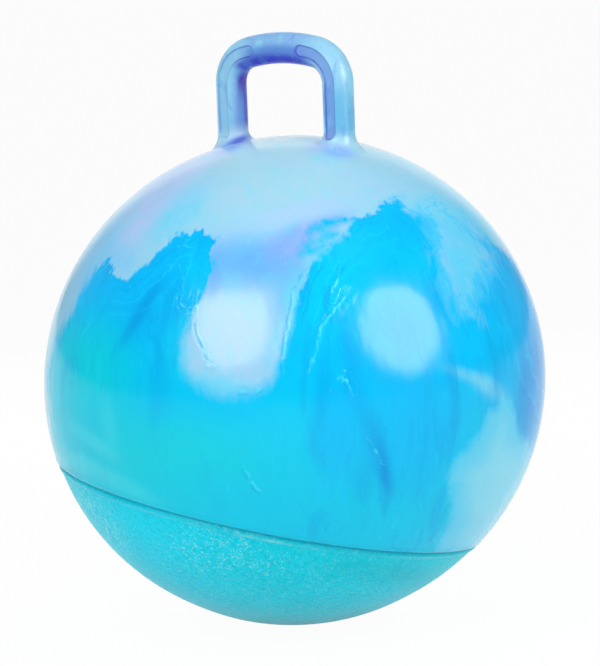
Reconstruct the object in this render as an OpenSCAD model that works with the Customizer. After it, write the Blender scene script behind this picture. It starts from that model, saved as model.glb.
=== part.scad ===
// Hopper ball: an inflated vinyl ball to sit and bounce on, with a moulded loop handle.
// Millimetres. +Z is up along the handle, the grip bar lies along X, and the front is -Y.
// The origin is the centre of the patch that the ball stands on.

/* [Ball] */
// Diameter of the blown-up ball
ball_d = 450; // [400:5:550]
// Wall of the smooth upper shell
upper_wall = 1.2; // [0.8:0.1:3]
// Wall of the grained base shell, which takes the wear
base_wall = 1.6; // [0.8:0.1:3]
// Width of the patch that the ball's own weight presses flat
rest_d = 90; // [40:2:120]

/* [Parting groove] */
// Depth of the groove's plane below the ball's centre
base_drop = 112; // [80:1:140]
// Lean of the base from the upright
base_tilt = 13.5; // [0:0.5:20]
// Direction that the base leans in, turned from +X towards the back
base_turn = 48; // [0:1:360]
// Width of the half-round groove
groove_w = 3; // [1.5:0.1:5]

/* [Handle] */
// Distance between the centres of the two legs
leg_spread = 121; // [100:1:150]
// Height of the bar's centre line above the top of the ball
bar_rise = 76; // [65:1:110]
// Outside diameter of the hollow handle
tube_d = 28; // [24:0.2:34]
// Wall of the hollow handle
tube_wall = 3; // [2:0.1:5]
// Centre-line radius of the two upper corners
corner_r = 29; // [20:1:38]
// Centre-line radius of the gently arched bar
arch_r = 180; // [140:5:400]
// Radius of the flare where a leg grows out of the ball
foot_r = 20; // [10:1:24]

/* [Grip channels] */
// Width of a sunk channel on the front and back of the handle
channel_w = 9.6; // [6:0.2:14]
// Depth of a channel at its middle
channel_depth = 2.2; // [1:0.1:2.6]
// Length of smooth grip between the two channels' round ends
grip_l = 49; // [30:1:60]
// Height of a channel's lower end above the ball's skin
channel_stop = 6; // [4:0.5:20]

/* [Valve] */
// Lean of the valve from the upright, towards the back
valve_lean = 40; // [32:1:70]
// Diameter of the valve seat where it fills the hole in the skin
seat_d = 20; // [18:0.5:26]
// Diameter of the flange bonded to the inside of the skin
flange_d = 32; // [28:0.5:44]
// Thickness of that flange
flange_t = 2; // [1:0.1:4]
// Outside diameter of the sleeve that grips the plug
sleeve_d = 14; // [11:0.5:17]
// Length of the valve's bore below the plug's head
bore_l = 14; // [10:0.5:20]
// Diameter of the valve's bore
bore_d = 8; // [6:0.1:9]

/* [Plug] */
// Diameter of the plug's head
head_d = 14; // [11:0.2:15]
// Thickness of the plug's head
head_t = 2; // [1.5:0.1:3]
// Width of the finger dimple in the head
dimple_d = 8; // [5:0.2:10]
// Depth of the finger dimple
dimple_depth = 0.8; // [0.3:0.1:1]
// Depth of the waists between the stem's sealing ribs
rib_depth = 0.5; // [0.2:0.1:1]
// Width of one sealing rib
rib_w = 1.6; // [1:0.1:2]
// Number of sealing ribs
ribs = 3; // [2:1:4]
// Length of the stem's tapered tip
tip_l = 3; // [2:0.5:5]
// Diameter of the end of the tip
tip_d = 4; // [2:0.2:5]

/* [Fits] */
// Clearance of the stem's ribs in the bore, on the radius
stem_gap = 0.05; // [0.02:0.01:0.1]
// Clearance of the plug's head in its recess, on the radius
head_gap = 0.4; // [0.2:0.05:0.8]

/* [Hidden] */
$fn = 120;

// Length by which cuts run past what they cut
over = 5;
// Depth of the flare's rim under the skin
foot_sink = 0.5;
// How far the flare's arc cuts into the line of the leg
foot_cross = 0.5;
// Length by which the legs and the bar run on inside the corners
lap_l = 1;
// Extra radius of the corners, so that what runs into them lies inside
lap_r = 0.05;

ball_r = ball_d / 2;
rest_r = rest_d / 2;
// Height of the ball's centre over the flat patch
ball_z = sqrt(pow(ball_r, 2) - pow(rest_r, 2));
rest_dip = ball_r - ball_z;
// The flat floor's disc ends inside the thickness of the round wall
floor_r = (rest_r + sqrt(pow(rest_r, 2) - 2 * base_wall * rest_dip)) / 2;

groove_r = groove_w / 2;
ring_r = sqrt(pow(ball_r, 2) - pow(base_drop, 2));

tube_r = tube_d / 2;
bore_r = tube_r - tube_wall;
leg_x = leg_spread / 2;
bar_z = ball_r + bar_rise;
arch_z = bar_z - arch_r;
// The corner arcs touch the arched bar from inside
corner_x = leg_x - corner_r;
corner_z = arch_z + sqrt(pow(arch_r - corner_r, 2) - pow(corner_x, 2));
arch_half = asin(corner_x / (arch_r - corner_r));
corner_turn = 90 - arch_half;
// Height of the skin over the ball's centre under a leg's centre line
skin_z = sqrt(pow(ball_r, 2) - pow(leg_x, 2));
// The flare's rim sinks just under the skin on the outer side of a leg
foot_low = sqrt(pow(ball_r, 2) - pow(leg_x + tube_r + foot_r, 2)) - foot_sink;
foot_top = foot_low + foot_r;
// Turn of the bar past its ends, by which it laps into the corners
lap_turn = lap_l / arch_r * 180 / PI;

channel_floor = tube_r - channel_depth;
channel_low = skin_z + channel_stop + channel_w / 2;
// Angle of a channel's upper end round the bar's arch
channel_turn = asin((grip_l + channel_w) / 2 / arch_r);

seat_r = seat_d / 2;
// The seat's flat face meets the skin at its rim
seat_top = sqrt(pow(ball_r, 2) - pow(seat_r, 2));
head_seat = seat_top - head_t;
sleeve_end = head_seat - bore_l;
inner_r = ball_r - upper_wall;
recess_r = head_d / 2 + head_gap;
stem_r = bore_d / 2 - stem_gap;
waist_r = stem_r - rib_depth;
// The ribs are spread evenly along the straight part of the stem
rib_step = (bore_l - rib_w) / ribs;
// Radius of the ball that would press the dimple
dimple_r = (pow(dimple_d / 2, 2) + pow(dimple_depth, 2)) / (2 * dimple_depth);

// Places its children round the ball's centre
module at_ball() {
    translate([0, 0, ball_z])
        children();
}

// Places its children on the leaning axis of the base
module at_base() {
    at_ball()
        rotate([0, 0, base_turn])
            rotate([0, base_tilt, 0])
                children();
}

// Places its children on the valve's axis, which points out of the ball
module at_valve() {
    at_ball()
        rotate([-valve_lean, 0, 0])
            children();
}

// Half section of a shell between two heights, with its side of the groove and the wall behind that
module shell_section(wall, low, high) {
    difference() {
        intersection() {
            translate([0, low])
                square([ball_r + over, high - low]);
            union() {
                difference() {
                    circle(ball_r);
                    circle(ball_r - wall);
                }
                intersection() {
                    circle(ball_r);
                    translate([ring_r, -base_drop])
                        circle(groove_r + wall);
                }
            }
        }
        translate([ring_r, -base_drop])
            circle(groove_r);
    }
}

// Draws both halves of the handle from one half
module both_sides() {
    for (turn = [0, 180]) {
        rotate([0, 0, turn])
            children();
    }
}

// The whole loop as a round bar, with legs that start at a height
module loop(r, low) {
    both_sides() {
        translate([leg_x, 0, low])
            cylinder(r = r, h = corner_z + lap_l - low);
        translate([corner_x, 0, corner_z])
            rotate([90, 0, 0])
                rotate_extrude(angle = corner_turn)
                    translate([corner_r, 0])
                        circle(r + lap_r);
    }
    translate([0, 0, arch_z])
        rotate([90, 0, 0])
            rotate([0, 0, corner_turn - lap_turn])
                rotate_extrude(angle = 2 * (arch_half + lap_turn))
                    translate([arch_r, 0])
                        circle(r);
}

// Flare at the foot of a leg, wider where the skin falls away
module foot_flare() {
    flare_r = tube_r + foot_r - foot_cross;
    rotate_extrude()
        difference() {
            square([flare_r, foot_r]);
            translate([flare_r, foot_r])
                circle(foot_r);
        }
}

// Part of a flat ring, between two angles from +X
module ring_part(r, w, from, to) {
    reach = 2 * r;
    intersection() {
        difference() {
            circle(r + w / 2);
            circle(r - w / 2);
        }
        polygon([[0, 0], reach * [cos(from), sin(from)], reach * [cos(to), sin(to)]]);
    }
}

// Outline of one channel, seen from the front: up a leg, round its corner and along the bar
module channel_outline() {
    end_r = channel_w / 2 + lap_r;
    translate([leg_x, channel_low])
        circle(end_r);
    translate([leg_x - channel_w / 2, channel_low])
        square([channel_w, corner_z + lap_l - channel_low]);
    translate([corner_x, corner_z])
        ring_part(corner_r, 2 * end_r, 0, corner_turn);
    translate([0, arch_z]) {
        ring_part(arch_r, channel_w, corner_turn - lap_turn, 90 - channel_turn);
        translate(arch_r * [sin(channel_turn), cos(channel_turn)])
            circle(end_r);
    }
}

// Cuts for the channels on both legs, front and back
module channels() {
    both_sides()
        rotate([90, 0, 0])
            translate([0, 0, channel_floor])
                linear_extrude(channel_depth + over) {
                    channel_outline();
                    mirror([1, 0])
                        channel_outline();
                }
}

module upper_shell() {
    color("#8fa9e6")
        difference() {
            at_base()
                rotate_extrude()
                    shell_section(upper_wall, -base_drop, ball_r + over);
            for (side = [-1, 1]) {
                at_ball()
                    translate([side * leg_x, 0, foot_low])
                        cylinder(r = bore_r, h = foot_top - foot_low + over);
            }
            at_valve()
                translate([0, 0, inner_r - over])
                    cylinder(d = seat_d, h = upper_wall + 2 * over);
        }
}

module base_shell() {
    color("#3fb4c9")
        difference() {
            union() {
                at_base()
                    rotate_extrude()
                        shell_section(base_wall, -ball_r - over, -base_drop);
                translate([0, 0, -rest_dip])
                    cylinder(r = floor_r, h = rest_dip + base_wall);
            }
            translate([0, 0, -rest_dip - over])
                cylinder(r = ball_r, h = rest_dip + over);
        }
}

module handle() {
    color("#7f9bea")
        at_ball()
            difference() {
                union() {
                    loop(tube_r, foot_low);
                    for (side = [-1, 1]) {
                        translate([side * leg_x, 0, foot_low])
                            foot_flare();
                    }
                }
                loop(bore_r, foot_low - over);
                sphere(ball_r);
                channels();
            }
}

module valve_seat() {
    color("#a9c4ee")
        at_valve()
            difference() {
                union() {
                    translate([0, 0, inner_r - flange_t])
                        cylinder(d = seat_d, h = seat_top - inner_r + flange_t);
                    intersection() {
                        difference() {
                            sphere(inner_r);
                            sphere(inner_r - flange_t);
                        }
                        cylinder(d = flange_d, h = ball_r);
                    }
                    translate([0, 0, sleeve_end])
                        cylinder(d = sleeve_d, h = inner_r - sleeve_end - flange_t / 2);
                }
                translate([0, 0, head_seat])
                    cylinder(r = recess_r, h = head_t + over);
                translate([0, 0, sleeve_end - over])
                    cylinder(d = bore_d, h = bore_l + head_t + 2 * over);
            }
}

module valve_plug() {
    color("#f2f2ee")
        at_valve()
            difference() {
                union() {
                    translate([0, 0, head_seat])
                        cylinder(d = head_d, h = head_t);
                    translate([0, 0, sleeve_end])
                        cylinder(r = waist_r, h = bore_l);
                    for (rib = [0 : ribs - 1]) {
                        translate([0, 0, sleeve_end + rib * rib_step])
                            cylinder(r = stem_r, h = rib_w);
                    }
                    translate([0, 0, sleeve_end - tip_l])
                        cylinder(d1 = tip_d, d2 = 2 * waist_r, h = tip_l);
                }
                translate([0, 0, seat_top - dimple_depth + dimple_r])
                    sphere(dimple_r);
            }
}

upper_shell();
base_shell();
handle();
valve_seat();
valve_plug();
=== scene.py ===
# Hopper ball: the looks of an inflated, marbled vinyl ball with a loop handle, around its CAD frame.
# Metres, in the frame of the CAD part: +Z up along the handle, the grip bar along X, the front at -Y.
import math

import bpy
import numpy as np
from mathutils import Matrix, Vector


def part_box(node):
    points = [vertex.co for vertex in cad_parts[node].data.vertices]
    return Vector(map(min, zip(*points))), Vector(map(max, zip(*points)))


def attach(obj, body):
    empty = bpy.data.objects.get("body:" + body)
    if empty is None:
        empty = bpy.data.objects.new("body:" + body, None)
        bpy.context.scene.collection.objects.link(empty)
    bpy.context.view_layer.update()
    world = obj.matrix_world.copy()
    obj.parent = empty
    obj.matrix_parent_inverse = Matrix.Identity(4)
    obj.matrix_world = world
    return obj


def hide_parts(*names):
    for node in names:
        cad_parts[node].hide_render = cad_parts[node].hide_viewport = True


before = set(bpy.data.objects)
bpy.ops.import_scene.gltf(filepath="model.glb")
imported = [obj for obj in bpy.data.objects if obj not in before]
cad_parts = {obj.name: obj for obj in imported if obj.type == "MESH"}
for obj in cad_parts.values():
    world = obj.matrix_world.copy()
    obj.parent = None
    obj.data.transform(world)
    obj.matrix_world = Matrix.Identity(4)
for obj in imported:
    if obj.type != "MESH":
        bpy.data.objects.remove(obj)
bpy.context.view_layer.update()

MM = 0.001


# Sizes

# The CAD ball, read from the frame
UPPER_LOW, UPPER_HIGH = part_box("upper_shell")
BALL_R = (UPPER_HIGH.x - UPPER_LOW.x) / 2
CENTRE = np.array([0.0, 0.0, UPPER_HIGH.z - BALL_R])

# The blown-up skin is a little wider than high, about an axis that leans left in the photo
SKIN_WIDE_R = 227.9 * MM
SKIN_SHORT_R = 221.8 * MM
SKIN_LEAN = math.radians(13.5)

# The parting groove lies in a slanting plane below the centre
GROOVE_DROP = 112 * MM
GROOVE_TILT = math.radians(13.5)
GROOVE_TURN = math.radians(48)
GROOVE_DEPTH = 2.2 * MM
GROOVE_HALF_W = 3.0 * MM
GROOVE_COS = -GROOVE_DROP / BALL_R
GROOVE_ANGLE = math.acos(GROOVE_COS)
LIP_RISE = 0.35 * MM
LIP_AT = 4.5 * MM
LIP_W = 1.3 * MM
# Dark core of the groove and the broad shade round it, in half widths, and the shade's strength
SHADE_CORE = 0.7
SHADE_BROAD = 1.9
SHADE_LEVEL = 0.4
# The base sits a little inside the upper skin, past a soft step
BASE_STEP = 1.4 * MM
BASE_STEP_W = 8 * MM
# Upward share of a direction from the centre, from the patch on the floor to the base's sides
BASE_SIDE = (-0.985, -0.86)
# Distances from the groove of the rings of points beside it
GROOVE_RINGS = np.array([0, 0.2, 0.4, 0.7, 1, 1.3, 1.6, 2, 2.4, 2.9, 3.5, 4.2, 5.1, 6.2, 7.5, 9]) * MM
UPPER_WALL = 1.2 * MM
BASE_WALL = 1.6 * MM
# Length over which the skin bends into the flat patch on the floor
REST_SOFT = 1.5 * MM

# The loop handle
TUBE_R = 14 * MM
LEG_X = 60.5 * MM
CORNER_R = 29 * MM
ARCH_R = 180 * MM
BAR_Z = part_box("handle")[1].z - TUBE_R
FOOT_OUTER_R = 20 * MM
FOOT_INNER_R = 8 * MM
FOOT_SINK = 0.2 * MM
# How far the curve of a foot goes on into the skin, where 1 ends on it
FOOT_REACH = 1.1
CHANNEL_W = 9.6 * MM
CHANNEL_DEPTH = 2.2 * MM
CHANNEL_WALL = 1.0 * MM
CHANNEL_RIM = 0.35 * MM
CHANNEL_RIM_W = 0.8 * MM
# Width of the painted shade along the channels' walls
CHANNEL_SHADE_W = 0.7 * MM
# Share of front or back from which the tube's side carries a channel
CHANNEL_SIDE = (0.5, 0.7)
GRIP_L = 49 * MM
CHANNEL_STOP = 6 * MM

# The valve's axis leans to the back
VALVE_LEAN = math.radians(40)
VALVE_AXIS = np.array([0.0, math.sin(VALVE_LEAN), math.cos(VALVE_LEAN)])
VALVE_HOLE_R = 10.15 * MM
# Rings of points round the hole, in radii of the hole, and how deep the first of them sink
VALVE_RINGS = np.array([1.0, 1.0, 1.012, 1.04, 1.1, 1.22, 1.42, 1.7, 2.05, 2.5, 3.1, 3.9, 4.9])
VALVE_SINK = np.array([1.3, 0.35, 0.1, 0.0]) * MM
# Distances from the hole's middle between which the oval skin turns into the CAD ball
VALVE_BLEND = (60 * MM, 25 * MM)

# Points round and along the meshes
UPPER_COLUMNS = 420
UPPER_RINGS = 150
BASE_COLUMNS = 480
BASE_RINGS = 90
HANDLE_COLUMNS = 60
HANDLE_STEP = 0.7 * MM
FOOT_RINGS = 24
# Closer columns at the channels' walls, and how far they spread, in radians
WALL_COLUMNS = 9
WALL_SPREAD = 0.12

# The photo's frame, the ball's radius and where it lies in it, and the camera that took it
PHOTO_BALL_R = 225 * MM
IMAGE_W = 600
IMAGE_MIDDLE = (300.0, 333.0)
BALL_PIXEL = (294.7, 380.0)
BALL_PIXEL_R = 247
PIXELS_PER_METRE = BALL_PIXEL_R / PHOTO_BALL_R
CAMERA_AZIMUTH = math.radians(38)
CAMERA_ELEVATION = math.radians(9)
CAMERA_ROLL = math.radians(-2.1)
CAMERA_DISTANCE = 2.5
SENSOR_W = 36.0
# The pattern drifts on the far side: where that sets in, in radii towards the camera, and the
# drift's pixels and waves, across and down
DRIFT_FROM = (0.05, -0.6)
DRIFT_ACROSS = 70
DRIFT_ACROSS_WAVES = (4.3, 2.1)
DRIFT_DOWN = 45
DRIFT_DOWN_WAVES = (5.7, 1.0)


def unit(v):
    """Vectors at length 1."""
    v = np.asarray(v, float)
    return v / np.linalg.norm(v, axis=-1, keepdims=True)


def smoothstep(low, high, x):
    """Smooth step from 0 at low to 1 at high."""
    t = np.clip((x - low) / (high - low), 0, 1)
    return t * t * (3 - 2 * t)


# Camera axes: to the image's right, up, and from the ball to the camera
TO_CAMERA = np.array([
    math.sin(CAMERA_AZIMUTH) * math.cos(CAMERA_ELEVATION),
    -math.cos(CAMERA_AZIMUTH) * math.cos(CAMERA_ELEVATION),
    math.sin(CAMERA_ELEVATION),
])
LEVEL_RIGHT = np.array([math.cos(CAMERA_AZIMUTH), math.sin(CAMERA_AZIMUTH), 0.0])
LEVEL_UP = np.cross(TO_CAMERA, LEVEL_RIGHT)
IMAGE_RIGHT = math.cos(CAMERA_ROLL) * LEVEL_RIGHT + math.sin(CAMERA_ROLL) * LEVEL_UP
IMAGE_UP = np.cross(TO_CAMERA, IMAGE_RIGHT)

SKIN_AXIS = np.array([0.0, 0.0, 1.0]) * math.cos(SKIN_LEAN) - LEVEL_RIGHT * math.sin(SKIN_LEAN)
GROOVE_AXIS = np.array([
    math.sin(GROOVE_TILT) * math.cos(GROOVE_TURN),
    math.sin(GROOVE_TILT) * math.sin(GROOVE_TURN),
    math.cos(GROOVE_TILT),
])


def around(axis, columns):
    """Unit vectors square to an axis, evenly all round it."""
    first = unit(np.cross([1.0, 0.0, 0.0], axis))
    second = np.cross(axis, first)
    bearing = np.linspace(0, 2 * np.pi, columns, endpoint=False)
    return np.outer(np.cos(bearing), first) + np.outer(np.sin(bearing), second)


def grid_faces(rings, columns):
    """Quads between closed rings of points."""
    ring, column = np.meshgrid(np.arange(rings - 1), np.arange(columns), indexing="ij")
    beside = (column + 1) % columns
    corners = [ring * columns + column, ring * columns + beside,
               (ring + 1) * columns + beside, (ring + 1) * columns + column]
    return np.stack([c.ravel() for c in corners], axis=1)


def mesh_object(name, points, faces):
    """A smooth-shaded mesh object from points and faces."""
    mesh = bpy.data.meshes.new(name)
    mesh.from_pydata(points.tolist(), [], [list(f) for f in faces])
    mesh.polygons.foreach_set("use_smooth", np.ones(len(mesh.polygons), bool))
    mesh.update()
    piece = bpy.data.objects.new(name, mesh)
    bpy.context.scene.collection.objects.link(piece)
    return piece


def points_of(piece):
    flat = np.zeros(3 * len(piece.data.vertices), np.float32)
    piece.data.vertices.foreach_get("co", flat)
    return flat.reshape(-1, 3).astype(float)


def store_value(piece, name, values):
    layer = piece.data.attributes.new(name, "FLOAT", "POINT")
    layer.data.foreach_set("value", np.asarray(values, np.float32))


def store_colour(piece, name, colours):
    layer = piece.data.attributes.new(name, "FLOAT_COLOR", "POINT")
    full = np.concatenate([colours, np.ones((len(colours), 1))], axis=1)
    layer.data.foreach_set("color", full.astype(np.float32).ravel())


# Camera

def make_camera():
    camera = bpy.data.objects.new("camera", bpy.data.cameras.new("camera"))
    camera.data.sensor_fit = "HORIZONTAL"
    camera.data.sensor_width = SENSOR_W
    camera.data.lens = PIXELS_PER_METRE * CAMERA_DISTANCE * SENSOR_W / IMAGE_W
    camera.data.shift_x = (IMAGE_MIDDLE[0] - BALL_PIXEL[0]) / IMAGE_W
    camera.data.shift_y = (BALL_PIXEL[1] - IMAGE_MIDDLE[1]) / IMAGE_W
    turn = Matrix([IMAGE_RIGHT, IMAGE_UP, TO_CAMERA]).transposed().to_4x4()
    turn.translation = Vector(CENTRE + CAMERA_DISTANCE * TO_CAMERA)
    camera.matrix_world = turn
    bpy.context.scene.collection.objects.link(camera)
    bpy.context.scene.camera = camera


def nearness(points):
    """How far points lie to the camera's side of the centre, in radii of the ball."""
    return (points - CENTRE) @ TO_CAMERA / BALL_R


def photo_pixels(points):
    """Pixels of the photo's frame on which points lie, with a drift on the far side."""
    offset = points - CENTRE
    right, up, near = offset @ IMAGE_RIGHT, offset @ IMAGE_UP, offset @ TO_CAMERA
    scale = PIXELS_PER_METRE / (1 - near / CAMERA_DISTANCE)
    behind = smoothstep(*DRIFT_FROM, near / BALL_R)
    by_up, by_near = DRIFT_ACROSS_WAVES
    by_right, start = DRIFT_DOWN_WAVES
    across = behind * DRIFT_ACROSS * np.sin((by_up * up + by_near * near) / BALL_R)
    down = behind * DRIFT_DOWN * np.sin(by_right * right / BALL_R + start)
    return np.stack([BALL_PIXEL[0] + scale * right + across, BALL_PIXEL[1] - scale * up + down], axis=1)


# Shape of the skin

def skin_radius(direction):
    """Distance from the centre to the skin along unit directions."""
    along = direction @ SKIN_AXIS
    return 1 / np.sqrt(along**2 / SKIN_SHORT_R**2 + (1 - along**2) / SKIN_WIDE_R**2)


def skin_height(x, y, grow=0.0):
    """Height over the centre of the skin's upper side, or of the skin grown outwards."""
    wide, short = SKIN_WIDE_R + grow, SKIN_SHORT_R + grow
    extra = 1 / short**2 - 1 / wide**2
    flat = x * SKIN_AXIS[0] + y * SKIN_AXIS[1]
    a = 1 / wide**2 + extra * SKIN_AXIS[2]**2
    b = 2 * extra * flat * SKIN_AXIS[2]
    c = (x**2 + y**2) / wide**2 + extra * flat**2 - 1
    return (-b + np.sqrt(b**2 - 4 * a * c)) / (2 * a)


def skin_normal(offset):
    """Outward unit normals of the skin at offsets from the centre."""
    extra = 1 / SKIN_SHORT_R**2 - 1 / SKIN_WIDE_R**2
    along = offset @ SKIN_AXIS
    return unit(offset / SKIN_WIDE_R**2 + extra * along[..., None] * SKIN_AXIS)


def below_groove(direction):
    """Distance along the skin below the groove's middle, for unit directions from the centre."""
    return (np.arccos(np.clip(direction @ GROOVE_AXIS, -1, 1)) - GROOVE_ANGLE) * BALL_R


def lip_share(away):
    """Share of the lip's height, by the distance along the skin from the groove's middle."""
    return np.exp(-((away - LIP_AT) / LIP_W)**2)


def groove_lift(away):
    """Lift of the skin near the groove, by the distance along the skin from its middle."""
    away = np.abs(away)
    sunk = GROOVE_DEPTH * (1 - smoothstep(0, GROOVE_HALF_W, away))
    return LIP_RISE * lip_share(away) - sunk


def groove_shade(away):
    """Painted shade in the groove's bottom and round it, by the distance from its middle."""
    core = np.exp(-(away / (SHADE_CORE * GROOVE_HALF_W))**2)
    return np.maximum(core, SHADE_LEVEL * np.exp(-(away / (SHADE_BROAD * GROOVE_HALF_W))**2))


def settle(points):
    """Presses the lowest part of the skin flat on the floor."""
    low = points[..., 2]
    points[..., 2] = (low + np.sqrt(low**2 + REST_SOFT**2)) / 2
    return points


def upper_skin():
    """The smooth upper skin: rings round the valve's hole that turn into the groove's ring."""
    across = around(VALVE_AXIS, UPPER_COLUMNS)
    a = VALVE_AXIS @ GROOVE_AXIS
    b = across @ GROOVE_AXIS
    reach = np.arctan2(b, a) + np.arccos(GROOVE_COS / np.sqrt(a**2 + b**2))
    near = VALVE_RINGS[:, None] * VALVE_HOLE_R / BALL_R + 0 * reach
    far = reach - GROOVE_RINGS[::-1, None] / BALL_R
    share = np.linspace(0, 1, UPPER_RINGS)[1:-1, None]
    between = near[-1] + share * (far[0] - near[-1])
    turn = np.concatenate([near, between, far])
    direction = np.cos(turn)[..., None] * VALVE_AXIS + np.sin(turn)[..., None] * across
    below = below_groove(direction)
    radius = skin_radius(direction)
    radius += smoothstep(*VALVE_BLEND, turn * BALL_R) * (BALL_R - radius)
    radius += groove_lift(below)
    radius[:len(VALVE_SINK)] -= VALVE_SINK[:, None]
    points = settle(CENTRE + radius[..., None] * direction)
    piece = mesh_object("upper_skin", points.reshape(-1, 3), grid_faces(*turn.shape)[:, ::-1])
    # Where the painted shade of the groove lies
    store_value(piece, "groove", groove_shade(below).ravel())
    return piece


def base_skin():
    """The grained base skin, from the groove's ring down to the patch on the floor."""
    across = around(GROOVE_AXIS, BASE_COLUMNS)
    near = GROOVE_ANGLE + GROOVE_RINGS / BALL_R
    far = np.linspace(near[-1], math.pi, BASE_RINGS)[1:-1]
    turn = np.concatenate([near, far])
    direction = np.cos(turn)[:, None, None] * GROOVE_AXIS + np.sin(turn)[:, None, None] * across
    below = (turn - GROOVE_ANGLE) * BALL_R
    radius = skin_radius(direction) + groove_lift(below)[:, None]
    sides = smoothstep(*BASE_SIDE, direction[..., 2])
    radius -= BASE_STEP * sides * smoothstep(0, BASE_STEP_W, below)[:, None]
    points = settle(CENTRE + radius[..., None] * direction).reshape(-1, 3)
    pole = settle(CENTRE - skin_radius(-GROOVE_AXIS) * GROOVE_AXIS)
    faces = [list(f) for f in grid_faces(len(turn), BASE_COLUMNS)]
    last = len(points) - BASE_COLUMNS
    faces += [[last + i, last + (i + 1) % BASE_COLUMNS, len(points)] for i in range(BASE_COLUMNS)]
    piece = mesh_object("base_skin", np.vstack([points, pole]), [f[::-1] for f in faces])
    # Where the painted shade of the groove lies
    store_value(piece, "groove", np.append(np.repeat(groove_shade(below), BASE_COLUMNS), 0))
    return piece


# Shape of the handle

# Height of the skin over the ball's centre, under the right leg
LEG_FOOT_Z = skin_height(LEG_X, 0.0)
# Height at which both feet have turned into straight legs
LEG_LOW_Z = LEG_FOOT_Z + FOOT_OUTER_R


def loop_line():
    """The loop's centre line over the ball's centre and its outward normal, from foot to foot."""
    arch_z = BAR_Z - CENTRE[2] - ARCH_R
    corner_x = LEG_X - CORNER_R
    corner_z = arch_z + math.sqrt((ARCH_R - CORNER_R)**2 - corner_x**2)
    half = math.asin(corner_x / (ARCH_R - CORNER_R))
    leg = np.arange(LEG_LOW_Z, corner_z, HANDLE_STEP)
    corner = np.arange(0, math.pi / 2 - half, HANDLE_STEP / CORNER_R)
    arch = np.linspace(half, -half, int(2 * half * ARCH_R / HANDLE_STEP))
    legs = np.stack([np.full_like(leg, LEG_X), leg, np.ones_like(leg), 0 * leg], axis=1)
    corners = np.stack([corner_x + CORNER_R * np.cos(corner), corner_z + CORNER_R * np.sin(corner),
                        np.cos(corner), np.sin(corner)], axis=1)
    top = np.stack([ARCH_R * np.sin(arch), arch_z + ARCH_R * np.cos(arch),
                    np.sin(arch), np.cos(arch)], axis=1)
    right = np.concatenate([legs, corners])
    left = right[::-1] * np.array([-1, 1, -1, 1])
    return np.concatenate([right, top, left])


def foot_rings(side, outward, front):
    """Rings of one leg's foot over the ball's centre, from inside the skin up to the leg."""
    away = np.stack([side * outward, -front, 0 * outward], axis=1)
    flare = FOOT_INNER_R + (FOOT_OUTER_R - FOOT_INNER_R) * (outward + 1) / 2
    middle = np.array([side * LEG_X, 0, 0]) + (TUBE_R + flare)[:, None] * away
    middle[:, 2] = skin_height(middle[:, 0], middle[:, 1], flare - FOOT_SINK)
    down = -skin_normal(middle)
    angle = np.arccos(np.clip(np.sum(-away * down, axis=1), -1, 1))
    rings = []
    for t in np.linspace(FOOT_REACH, 0, FOOT_RINGS):
        direction = -(np.sin((1 - t) * angle) / np.sin(angle))[:, None] * away
        direction = direction + (np.sin(t * angle) / np.sin(angle))[:, None] * down
        rings.append(middle + flare[:, None] * direction)
    ring = rings[-1]
    for t in np.linspace(0, 1, int(FOOT_OUTER_R / HANDLE_STEP))[1:-1]:
        raised = ring.copy()
        raised[:, 2] += t * (LEG_LOW_Z - ring[:, 2])
        rings.append(raised)
    return np.array(rings)


def handle_loop():
    """The loop with its sunk channels and its flared feet."""
    line = loop_line()
    wall_turn = math.asin(CHANNEL_W / 2 / TUBE_R)
    even = np.linspace(0, 2 * np.pi, HANDLE_COLUMNS, endpoint=False)
    fine = np.linspace(-WALL_SPREAD, WALL_SPREAD, WALL_COLUMNS)
    walls = [side + sign * wall_turn for side in (np.pi / 2, 3 * np.pi / 2) for sign in (-1, 1)]
    turn = np.unique(np.round(np.concatenate([even] + [w + fine for w in walls]), 5))
    columns = len(turn)
    outward, front = np.cos(turn), np.sin(turn)
    across = TUBE_R * outward
    loop = np.stack([line[:, 0, None] + across * line[:, 2, None],
                     -TUBE_R * front + 0 * line[:, 0, None],
                     line[:, 1, None] + across * line[:, 3, None]], axis=-1)
    right = foot_rings(1, outward, front)
    left = foot_rings(-1, outward, front)[::-1]
    rings = np.concatenate([right, loop, left])

    # The channels, sunk between the grip and the feet
    centre_line = np.concatenate([
        np.stack([np.full(len(right), LEG_X), right[..., 2].mean(1)], axis=1), line[:, :2],
        np.stack([np.full(len(left), -LEG_X), left[..., 2].mean(1)], axis=1)])
    along = np.concatenate([[0], np.cumsum(np.linalg.norm(np.diff(centre_line, axis=0), axis=1))])
    from_middle = np.abs(along - np.interp(0, -centre_line[:, 0], along))
    upper_end = (GRIP_L + CHANNEL_W) / 2
    low_z = LEG_FOOT_Z + CHANNEL_STOP + CHANNEL_W / 2
    beyond = np.maximum(upper_end - from_middle[:, None], low_z - rings[..., 2])
    edge = np.hypot(np.maximum(beyond, 0), across) - CHANNEL_W / 2
    on_side = smoothstep(*CHANNEL_SIDE, np.abs(front))
    sunk = on_side * smoothstep(CHANNEL_WALL / 2, -CHANNEL_WALL / 2, edge)
    rim = on_side * CHANNEL_RIM * np.exp(-((edge - CHANNEL_WALL) / CHANNEL_RIM_W)**2)
    depth = np.maximum(np.abs(rings[..., 1]) - (TUBE_R - CHANNEL_DEPTH), 0)
    rings[..., 1] -= np.sign(rings[..., 1]) * (depth * sunk - rim)

    points = CENTRE + rings.reshape(-1, 3)
    faces = [list(f)[::-1] for f in grid_faces(len(rings), columns)]
    faces.append(list(range(columns)))
    faces.append(list(range(len(points) - columns, len(points)))[::-1])
    piece = mesh_object("handle_loop", points, faces)
    # Painted shade along the channels' walls, where the recesses' corners lie
    wall = on_side * np.exp(-(edge / CHANNEL_SHADE_W)**2)
    paint_handle(piece, rings, outward, front, from_middle, sunk, wall)
    return piece


# Colours, as they look in the photo

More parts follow.
